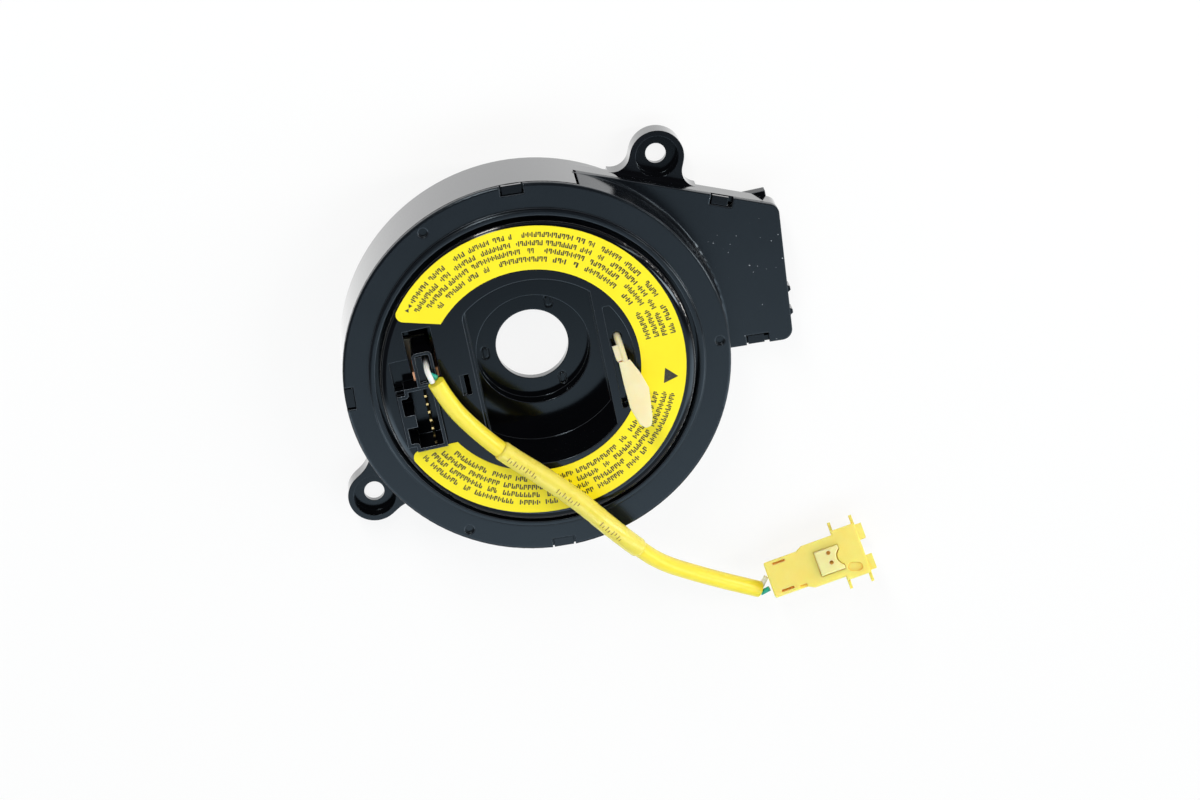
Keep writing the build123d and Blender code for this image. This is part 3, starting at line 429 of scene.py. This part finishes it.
gold_plate = rolled_metal("gold_plate", (0.50, 0.34, 0.12), (0.80, 0.62, 0.30), rough=0.22)
copper_strip = rolled_metal("copper_strip", (0.62, 0.26, 0.12), (0.90, 0.50, 0.32), rough=0.28)
ribbon_film = ribbon_foil("ribbon_foil")
print("metals and foil:", [m.name for m in (gold_plate, copper_strip, ribbon_film)])

# %% [markdown]
# ## Dressing the solids
#
# Every solid is one moulding, strip or wire of the real part, so it takes one material. The
# solids are neither moved nor reshaped: they carry the measures of the part.

# %% Assign materials
DRESS = (
    (case_black, "stator_housing"),
    (cover_black, "front_cover"),
    (rotor_black, "rotor_top", "ribbon_spool"),
    (socket_black, "column_connector", "feed_connector", "switch_socket", "lead_tower"),
    (ivory_plastic, "rotor_terminal_block", "ribbon_terminal_block"),
    (gold_plate, "column_pins", "feed_pins", "switch_pins", "connector_contacts"),
    (copper_strip, "lead_terminals"),
    (ribbon_film, "ribbon_cable"),
    (sticker_film, "label"),
    (plug_plastic, "lead_connector"),
    (lock_plastic, "connector_lock"),
    (pin_plastic, "lock_pin"),
    (white_insulation, "wire_white"),
    (green_insulation, "wire_green"),
    (sleeve_vinyl, "lead_sleeve", "lead_sleeve_outer"),
    (marker_vinyl, "marker_tube"),
)
dressed = [(NODES[node_name], material) for material, *node_names in DRESS for node_name in node_names]
for solid, material in dressed:
    solid.data.materials.clear()
    solid.data.materials.append(material)
print("materials on", len(dressed), "of", len(NODES), "nodes")

# %% [markdown]
# ## The lead
#
# A soft sleeve holds the two wires that run from the tower, over the rim and down to the plug. A
# lead as short and stiff as this one hardly sags, so nothing is simulated: it is one smooth curve
# with a round section. A NURBS curve of order 3 bends softly and needs few points, which a chain
# of straight tubes would not.

# %% Curves
CURVE_STEPS = 16      # straight pieces between two control points
ROUND_STEPS = 8       # extra sides of the round section


def add_object(name, data, material, body):
    """A new piece of one material that rides on a body."""
    piece = bpy.data.objects.new(name, data)
    bpy.context.scene.collection.objects.link(piece)
    data.materials.append(material)
    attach(piece, body)
    return piece


def smooth_curve(name, points):
    """A NURBS curve: each point of it is a weighted mean of three neighbouring control points."""
    curve = bpy.data.curves.new(name, "CURVE")
    curve.dimensions = "3D"
    spline = curve.splines.new("NURBS")
    spline.points.add(len(points) - 1)
    controls = np.column_stack([np.asarray(points) * MM, np.ones(len(points))])
    spline.points.foreach_set("co", controls.ravel())
    spline.order_u = 3
    spline.use_endpoint_u = True
    curve.resolution_u = CURVE_STEPS
    return curve


def pipe(curve, diameter):
    """The curve as a closed round rod: every point that lies half a diameter from its line."""
    curve.bevel_depth = diameter / 2 * MM
    curve.bevel_resolution = ROUND_STEPS
    curve.use_fill_caps = True
    return curve


def curve_line(curve):
    """The points of a curve's own line, as Blender works them out, in metres."""
    holder = bpy.data.objects.new("line_reader", curve)
    bpy.context.scene.collection.objects.link(holder)
    mesh = bpy.data.meshes.new_from_object(holder.evaluated_get(bpy.context.evaluated_depsgraph_get()))
    line = np.empty(3 * len(mesh.vertices), np.float32)
    mesh.vertices.foreach_get("co", line)
    bpy.data.meshes.remove(mesh)
    bpy.data.objects.remove(holder)
    return line.reshape(-1, 3).astype(float)


# %% [markdown]
# ## Sleeve
#
# The sleeve of the real part is one extruded tube. The curve has the same control points as the
# solids, so that it takes the very place of the two stretches that show. Its length is measured
# along the finished line, since control points lie beside it.

# %% Sleeve
LEAD_ROUTE = (
    (-25.9, 5.8, FACE + 6.7), (-23.9, -0.9, FACE + 6.1), (-19.6, -8.7, FACE + 5.0),
    (-13.1, -17.8, FACE + 4.2), (-4.6, -26.3, FACE + 4.4), (3.3, -35.2, FACE + 5.0),
    (9.6, -43.9, FACE + 5.2), (14.8, -51.4, FACE + 3.0), (20.5, -60.7, 20.3),
    (29.9, -69.2, 13.8), (38.4, -75.9, 9.2), (45.3, -80.4, 7.0),
)
SLEEVE_DIAMETER = 4.4

lead_line = curve_line(smooth_curve("lead_line", LEAD_ROUTE))
lead_steps = np.linalg.norm(np.diff(lead_line, axis=0), axis=1)
lead_along = np.concatenate([[0.0], np.cumsum(lead_steps)])

sleeve_curve = pipe(smooth_curve("vinyl_sleeve", LEAD_ROUTE), SLEEVE_DIAMETER)
sleeve = add_object("vinyl_sleeve", sleeve_curve, sleeve_vinyl, "rotor")
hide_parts("lead_sleeve", "lead_sleeve_outer")

# %% [markdown]
# ## Meshes from arrays
#
# The marker tube and the print need shapes of their own. Adding them vertex by vertex would be
# slow to read and to run. Each is worked out as whole arrays of points instead, and handed to
# Blender in one piece.


# %% Array meshes
def outward(mesh):
    """The mesh with every face turned outward."""
    work = bmesh.new()
    work.from_mesh(mesh)
    bmesh.ops.recalc_face_normals(work, faces=work.faces)
    work.to_mesh(mesh)
    work.free()
    return mesh


def mesh_from_arrays(name, vertices, faces, smooth=True):
    """A mesh from points, three numbers each, and faces, as many point numbers as a face has corners."""
    mesh = bpy.data.meshes.new(name)
    mesh.vertices.add(len(vertices))
    mesh.vertices.foreach_set("co", np.asarray(vertices, np.float32).ravel())
    mesh.loops.add(faces.size)
    mesh.loops.foreach_set("vertex_index", faces.astype(np.int32).ravel())
    mesh.polygons.add(len(faces))
    mesh.polygons.foreach_set("loop_start", np.arange(0, faces.size, faces.shape[1], dtype=np.int32))
    mesh.polygons.foreach_set("use_smooth", np.full(len(faces), smooth))
    mesh.update(calc_edges=True)
    mesh.validate()
    return mesh


# %% [markdown]
# ## Directions along the lead
#
# A section swept along a line needs two directions square to the line at each point. Blender's
# own sweep can twist them. Here the first is kept level, which suits a line that never stands
# upright, so that "round the tube" starts on the same side all the way.


# %% Frames
def frames_along(line):
    """Two directions at each point: the tangent crossed with up, and that crossed with the tangent."""
    tangent = np.gradient(line, axis=0)
    tangent /= np.linalg.norm(tangent, axis=1, keepdims=True)
    side = np.cross(tangent, np.array([0.0, 0.0, 1.0]))
    side /= np.linalg.norm(side, axis=1, keepdims=True)
    return side, np.cross(side, tangent)


def at_distance(table, distance):
    """A table over the lead's points, read between its rows at distances (metres) along the lead."""
    return np.stack([np.interp(distance, lead_along, column) for column in table.T], axis=-1)


lead_side, lead_up = frames_along(lead_line)
print("lead's steepest slope: %.0f degrees" % math.degrees(math.acos(lead_up[:, 2].min())))

# %% [markdown]
# ## Sweeping a tube
#
# A tube of one width could be a second curve with a round section. One that is wrinkled and drawn
# in at its ends needs a width for each point of its line. So rings of points are carried along
# the line, out on the outer surface and back through the bore, and the last ring closes on the
# first.


# %% Tube shell
def ring_faces(rows, columns):
    """Quads between neighbours on a grid that closes both ways, as on a torus."""
    number = np.arange(rows * columns).reshape(rows, columns)
    below = np.roll(number, -1, axis=0)
    corners = [number, below, np.roll(below, -1, axis=1), np.roll(number, -1, axis=1)]
    return np.stack(corners, axis=-1).reshape(-1, 4)


def tube_shell(name, line, outer, inner, columns=40):
    """Out along the outer surface and back along the bore.

    A point is the line's point plus its radius times a spoke, which is side times the cosine of
    the turn plus up times its sine.
    """
    side, up = frames_along(line)
    turn = 2 * np.pi * np.arange(columns) / columns
    spokes = side[:, None] * np.cos(turn)[None, :, None] + up[:, None] * np.sin(turn)[None, :, None]
    outside = line[:, None] + spokes * outer[:, None, None]
    inside = (line[:, None] + spokes * inner[:, None, None])[::-1]
    points = np.concatenate([outside, inside])
    return outward(mesh_from_arrays(name, points.reshape(-1, 3), ring_faces(len(points), columns)))


# %% [markdown]
# ## Marker tube
#
# A paler tube is slipped over the middle of the sleeve to mark the circuit. It is a thin sleeve
# with a little play. Two sines of unlike length, multiplied, wrinkle it without a visible beat.

# %% Marker tube
MARKER_START, MARKER_END = 26.0, 73.0      # along the lead
MARKER_RADIUS = 2.6
MARKER_PLAY = 0.03                         # between sleeve and tube
END_LENGTH, END_SHRINK = 0.7, 0.22
WRINKLE = 0.03
WRINKLE_WAVES = (2.1, 0.37)                # radians to a millimetre

along = np.linspace(MARKER_START * MM, MARKER_END * MM, 90)
inward = 1 - np.clip(np.minimum(along - along[0], along[-1] - along) / (END_LENGTH * MM), 0.0, 1.0)
wrinkles = WRINKLE * np.prod([np.sin(along / MM * wave) for wave in WRINKLE_WAVES], axis=0)
marker_outer = (MARKER_RADIUS - END_SHRINK * inward ** 2 + wrinkles) * MM
marker_inner = np.full(len(along), (SLEEVE_DIAMETER / 2 + MARKER_PLAY) * MM)
marker_mesh = tube_shell("marker_sleeve", at_distance(lead_line, along), marker_outer, marker_inner)
marker = add_object("marker_sleeve", marker_mesh, marker_vinyl, "rotor")
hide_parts("marker_tube")
print("marker tube %.0f mm long, %d faces" % (MARKER_END - MARKER_START, len(marker_mesh.polygons)))

# %% [markdown]
# ## Plates of ink
#
# Print is ink of no thickness to speak of. A painted image would blur up close, and faces at the
# film's own height would flicker. So each stroke is a plate of ink 0.03 mm thick that lies on the
# film. The strokes of sticker and tube are blocks of one kind, which differ only in what their
# two running numbers mean: radius and angle on the sticker, distance and turn on the tube.

# %% Plates
INK = 0.03      # thickness of the ink


def block_faces(cells):
    """Quads round a block of 2 by (cells + 1) by 2 points: its skins, its ends, then its long sides."""
    number = np.arange(4 * (cells + 1)).reshape(2, cells + 1, 2)
    near, far = number[:, :-1], number[:, 1:]
    skins = np.stack([near[0], near[1], far[1], far[0]], axis=-1)
    ends = np.stack([near[..., 0], far[..., 0], far[..., 1], near[..., 1]], axis=-1)
    first, last = number[0, ::cells], number[1, ::cells]
    sides = np.stack([first[:, 0], last[:, 0], last[:, 1], first[:, 1]], axis=-1)
    return np.concatenate([quads.reshape(-1, 4) for quads in (skins, ends, sides)])


def plates(name, boxes, low, high, cells, place):
    """One plate for each box (p start, p end, q start, q end), between the heights low and high.

    q runs in even cells from its start to its end; place turns arrays of p, q and height into points.
    """
    boxes = np.asarray(boxes, float)
    p = boxes[:, :2, None, None]
    q = boxes[:, 2, None] + (boxes[:, 3] - boxes[:, 2])[:, None] * np.linspace(0.0, 1.0, cells + 1)
    points = place(*np.broadcast_arrays(p, q[:, None, :, None], np.array([low, high])))
    block = 4 * (cells + 1)
    faces = (np.arange(len(boxes)) * block)[:, None, None] + block_faces(cells)
    return outward(mesh_from_arrays(name, points.reshape(-1, 3), faces.reshape(-1, 4), smooth=False))


# %% [markdown]
# ## Print on the sticker
#
# The sticker of the real part carries curved rows of handling notes. They say nothing here: each
# word keeps its place and length, and its letters are runs of small strokes, a stem and a shorter
# partner, some with a cap. Real letters of a font could be bent round the bore, but would say
# something.

# %% Rows of words
# radius of each row, and the angles in degrees at which its words start and end
ROWS = (
    (36.6, ((136.9, 126.5), (125.0, 117.2), (112.8, 107.5), (106.0, 96.9), (95.4, 90.6), (89.2, 87.6),
            (84.0, 63.1), (61.9, 58.1), (56.9, 54.0), (51.2, 41.9), (40.0, 31.9), (28.1, 20.6), (16.2, 9.0),
            (7.5, 3.2))),
    (34.4, ((139.4, 124.4), (122.2, 117.2), (114.8, 104.4), (101.9, 88.8), (86.5, 75.0), (74.0, 60.6),
            (59.0, 53.8), (50.9, 48.1), (44.4, 30.0), (28.8, 23.1), (21.2, 16.2), (14.4, 3.1))),
    (32.3, ((135.2, 121.9), (121.0, 110.0), (108.1, 85.0), (81.9, 78.8), (74.4, 55.6), (53.1, 37.5),
            (33.1, 20.6), (17.5, 3.5))),
    (30.1, ((132.8, 129.4), (126.2, 114.8), (112.8, 106.9), (104.0, 101.0), (96.2, 72.5), (70.0, 63.1),
            (59.8, 56.9), (53.8, 35.6), (30.6, 23.8), (18.8, 3.5))),
    (36.1, ((-22.5, -46.5), (-48.5, -51.9), (-53.4, -60.0), (-62.1, -74.6), (-76.5, -90.0), (-91.9, -97.2),
            (-99.1, -107.8), (-110.2, -126.9), (-129.1, -131.9), (-134.8, -148.8), (-150.5, -153.1))),
    (34.0, ((-22.5, -39.4), (-41.6, -55.6), (-58.8, -74.8), (-77.2, -90.6), (-92.5, -96.2), (-99.1, -115.6),
            (-118.1, -122.5), (-124.8, -141.2), (-143.1, -151.8))),
    (31.9, ((-23.1, -28.8), (-30.0, -48.1), (-50.0, -61.5), (-64.4, -67.5), (-70.4, -81.5), (-84.0, -87.0),
            (-89.0, -92.2), (-97.5, -116.2), (-117.9, -133.5), (-135.6, -149.4))),
    (29.7, ((-23.1, -28.1), (-30.0, -37.5), (-39.8, -46.5), (-49.6, -53.5), (-56.5, -80.6), (-81.9, -91.9),
            (-94.0, -96.9), (-105.0, -111.2), (-113.1, -123.1), (-126.0, -145.0))),
)
print("words:", sum(len(words) for _, words in ROWS), "in", len(ROWS), "rows")

# %% [markdown]
# ## Letters that say nothing
#
# From a little way off, print is a rhythm of uprights with some bars between them. A letter here
# is a stem and a shorter partner, which stands low, hangs high or floats between, and a bar joins
# them at the foot or the head unless the partner floats. The draws are seeded, so that the print
# comes out the same each time.

# %% Strokes of a word
PRINT_HEIGHT = 1.35
LETTER_PITCH = 1.04
STEM_START, STEM_WIDTH = 0.10, 0.32      # shares of a letter's pitch
PARTNER_START, PARTNER_WIDTH = (0.46, 0.56), 0.28
CAP_START, CAP_HEIGHT = 0.20, 0.24
LOW_HEAD, HIGH_FOOT = 0.2, 0.1           # a low partner's head above the row, a high one's foot below it
FLOAT_GAP = 0.35                         # what a floating partner lacks at either end


def word_strokes(radius, start, end, draw):
    """Boxes (radius and angle, each from and to) of a word: stems, their partners, and caps that join some.

    The word's arc over the pitch gives the number of letters, which share the arc evenly.
    """
    start, end = sorted((math.radians(start), math.radians(end)))
    count = max(1, round(radius * (end - start) / LETTER_PITCH))
    pitch = (end - start) / count
    left = start + pitch * (np.arange(count) + STEM_START)
    low, high = radius - PRINT_HEIGHT / 2, radius + PRINT_HEIGHT / 2
    stem = np.stack([np.full(count, low), np.full(count, high), left, left + STEM_WIDTH * pitch], axis=1)
    kind = draw.integers(0, 3, count)
    foot = np.choose(kind, [low, radius - HIGH_FOOT, low + FLOAT_GAP])
    head = np.choose(kind, [radius + LOW_HEAD, high, high - FLOAT_GAP])
    gap = draw.uniform(*PARTNER_START, count) * pitch
    partner = np.stack([foot, head, left + gap, left + gap + PARTNER_WIDTH * pitch], axis=1)
    edge = np.where(kind == 0, low, high - CAP_HEIGHT)
    cap = np.stack([edge, edge + CAP_HEIGHT, left + CAP_START * pitch, left + gap], axis=1)
    return np.concatenate([stem, partner, cap[kind != 2]])


# %% [markdown]
# ## Laying the print
#
# The sticker's own centre is a little off the bore, as on a part that was labelled by hand, so
# the rows turn round that centre.

# %% Print the sticker
STICKER_CENTRE = (-0.9, 0.6)
STICKER_TOP = FACE + 0.15


def on_sticker(radius, angle, height):
    """The sticker's centre plus the radius times the cosine and sine of the angle, at a height."""
    x = STICKER_CENTRE[0] + radius * np.cos(angle)
    y = STICKER_CENTRE[1] + radius * np.sin(angle)
    return np.stack([x, y, height], axis=-1) * MM


draw = np.random.default_rng(7)
strokes = np.concatenate([word_strokes(radius, start, end, draw)
                          for radius, words in ROWS for start, end in words])
print_mesh = plates("sticker_print", strokes, STICKER_TOP, STICKER_TOP + INK, 1, on_sticker)
print_plates = add_object("sticker_print", print_mesh, ink, "rotor")
print("strokes of print:", len(strokes))

# %% [markdown]
# ## Marks on the sticker
#
# A solid triangle points to the rim, and two small arrowheads start the notes. Marks like these
# belong to no maker, so they are drawn as they are, as thin three-sided plates.

# %% Triangles
MARKS = (
    ((36.9, -15.2), (33.4, -11.6), (33.4, -18.8)),      # radius and angle (degrees) of each corner
    ((37.1, 141.0), (36.0, 141.0), (36.5, 139.5)),
    ((37.1, 137.8), (36.0, 137.8), (36.5, 139.3)),
)


def flat_triangles(name, corners, low, high):
    """Plates over triangles (radius, angle in degrees): each corner once low and once high."""
    radius, angle = np.moveaxis(np.asarray(corners, float), -1, 0)
    floor_and_top = [on_sticker(radius, np.radians(angle), np.full(radius.shape, z)) for z in (low, high)]
    points = np.concatenate(floor_and_top, axis=1)
    parts = np.array([[0, 2, 1], [3, 4, 5], [0, 1, 4], [0, 4, 3], [1, 2, 5], [1, 5, 4], [2, 0, 3], [2, 3, 5]])
    faces = (np.arange(len(corners)) * 6)[:, None, None] + parts
    return outward(mesh_from_arrays(name, points.reshape(-1, 3), faces.reshape(-1, 3), smooth=False))


mark_mesh = flat_triangles("sticker_marks", MARKS, STICKER_TOP, STICKER_TOP + INK)
mark_plates = add_object("sticker_marks", mark_mesh, ink, "rotor")
print("marks:", len(MARKS))

# %% [markdown]
# ## Print on the marker tube
#
# A code is printed along the tube's upper side, in ink that has faded to brown. Three short
# groups of strokes stand for it, wrapped round the tube as plates of three cells each.

# %% Print the tube
TUBE_GROUPS = ((28.5, 5), (44.0, 4), (58.5, 4))      # start along the lead, and letters
TUBE_PITCH = 1.9
TUBE_STROKE = 0.2
PARTNER_STEP = 0.85
TUBE_LOW, TUBE_MIDDLE, TUBE_HIGH = 1.15, 1.36, 1.70      # turns round the tube, radians
PARTNER_TURN = 0.34
INK_LOW, INK_HIGH = 0.005, 0.045                         # above the tube


def on_tube(distance, turn, radius):
    """The lead's point at a distance plus the radius times a spoke, made as in tube_shell."""
    where = distance * MM
    side, up = at_distance(lead_side, where), at_distance(lead_up, where)
    spoke = side * np.cos(turn)[..., None] + up * np.sin(turn)[..., None]
    return at_distance(lead_line, where) + radius[..., None] * MM * spoke


tube_draw = np.random.default_rng(3)
tube_strokes = []
for group_start, letters in TUBE_GROUPS:
    for stem in group_start + TUBE_PITCH * np.arange(letters):
        partner = stem + PARTNER_STEP
        foot = TUBE_LOW if tube_draw.random() < 0.5 else TUBE_MIDDLE
        tube_strokes.append((stem, stem + TUBE_STROKE, TUBE_LOW, TUBE_HIGH))
        tube_strokes.append((partner, partner + TUBE_STROKE, foot, foot + PARTNER_TURN))
tube_mesh = plates("marker_print", tube_strokes, MARKER_RADIUS + INK_LOW, MARKER_RADIUS + INK_HIGH, 3, on_tube)
tube_print = add_object("marker_print", tube_mesh, tube_ink, "rotor")
print("strokes on the tube:", len(tube_strokes))

# %% [markdown]
# ## What the lead is
#
# Whoever uses the part later may lay the lead anew. The point where it leaves the tower is printed.

# %% Where the lead leaves the tower
print("lead leaves the tower at", LEAD_ROUTE[0])

# %% [markdown]
# ## Table
#
# The part lies on a white table. Brightening the table with lamps would burn out the yellow.
# Camera and mirror rays see it as plain white instead, so that the background stays clean and
# polished walls mirror it. The rest of its shading stays a diffuse paper, which keeps the part's
# soft shadow.

# %% Table
TABLE_WHITE = 0.86      # share of plain white that the camera sees
TABLE_DROP = 0.1        # below the part, so that the two faces don't coincide
TABLE_HALF = 3.0        # metres

corners = np.array([[-1, -1, 0], [1, -1, 0], [1, 1, 0], [-1, 1, 0]]) * TABLE_HALF - (0, 0, TABLE_DROP * MM)
table_mesh = mesh_from_arrays("table_top", corners, np.array([[0, 1, 2, 3]]))
table_top = bpy.data.objects.new("table_top", table_mesh)
bpy.context.scene.collection.objects.link(table_top)

table = Finish("table_white")
mottle = table.noise(table.place(scale=1.0), scale=30.0, detail=2.0)
paper = table.mix(mottle, (0.90, 0.90, 0.905), (0.92, 0.92, 0.92))
paint = table.put("BsdfDiffuse", {"Color": paper, "Roughness": 0.5})
plain = table.put("Emission", {"Color": (1.0, 1.0, 1.0, 1.0), "Strength": 1.0})
rays = table.put("LightPath").outputs
mirrored = table.math("MAXIMUM", rays["Is Glossy Ray"], rays["Is Transmission Ray"])
seen = table.math("MAXIMUM", table.math("MULTIPLY", rays["Is Camera Ray"], TABLE_WHITE), mirrored)
shading = table.put("MixShader", {0: seen, 1: paint.outputs[0], 2: plain.outputs[0]})
table.set(table.output.inputs[0], shading.outputs[0])
table_mesh.materials.append(table.material)
print("table top %.1f mm below the part" % TABLE_DROP)

# %% [markdown]
# ## Room
#
# Flat black faces show what they mirror. A soft band of light stands in front of the part, and
# its upper edge falls just where the faces look: they turn from near black at the back to a cool
# grey at the front. An even sky would turn them all one grey. The camera sees plain white in the
# room's place.

# %% Room
ROOM_DIM, ROOM_BRIGHT = 0.10, 3.2

world = bpy.data.worlds.new("white_room")
bpy.context.scene.world = world
world.use_nodes = True
room = Graph(world.node_tree, "OutputWorld")
look = room.put("SeparateXYZ", {"Vector": room.put("TexCoord").outputs["Generated"]}).outputs
front = room.math("MULTIPLY", look[1], -1.0)
rise = room.ramp(front, low=0.27, high=0.50)
fall = room.ramp(front, low=0.62, high=0.72, at_low=1.0, at_high=0.1)
band = room.math("MULTIPLY", rise, fall)
strength = room.ramp(band, low=0.0, high=1.0, at_low=ROOM_DIM, at_high=ROOM_BRIGHT, smooth=False)
glow = room.put("Background", {"Color": (0.86, 0.95, 1.0, 1.0), "Strength": strength})
white = room.put("Background", {"Color": (1.0, 1.0, 1.0, 1.0), "Strength": 1.0})
camera_ray = room.put("LightPath").outputs["Is Camera Ray"]
room_light = room.put("MixShader", {0: camera_ray, 1: glow.outputs[0], 2: white.outputs[0]})
room.set(room.output.inputs[0], room_light.outputs[0])
print("room light from %.1f to %.1f" % (ROOM_DIM, ROOM_BRIGHT))

# %% [markdown]
# ## Lamps
#
# Three tall strip lamps give the crisp highlights on rounded edges: a rim mirrors a strip as a
# thin line, where a round lamp would leave a dot. They stand behind and to the side, low enough
# that no flat face mirrors them into the camera.

# %% Lamps
LAMP_AIM = (0.0, 0.0, 0.02)       # metres, as are the places and sizes
LAMP_COLOUR = (1.0, 0.97, 0.92)
LAMPS = (
    ("back_strip", (-0.18, 0.93, 0.74), (0.20, 0.95), 7.7),      # place, width and height, watts
    ("side_strip", (1.02, -0.03, 0.64), (0.18, 0.90), 6.0),
    ("corner_strip", (0.91, 0.40, 0.66), (0.10, 0.80), 1.5),
)
for lamp_name, place, size, power in LAMPS:
    lamp = bpy.data.lights.new(lamp_name, "AREA")
    lamp.shape = "RECTANGLE"
    lamp.size, lamp.size_y = size
    lamp.energy = power
    lamp.color = LAMP_COLOUR
    holder = bpy.data.objects.new(lamp_name, lamp)
    holder.location = place
    holder.rotation_euler = (Vector(LAMP_AIM) - Vector(place)).to_track_quat("-Z", "Y").to_euler()
    bpy.context.scene.collection.objects.link(holder)
print("lamps:", len(LAMPS), "with %.1f W in all" % sum(lamp_row[3] for lamp_row in LAMPS))
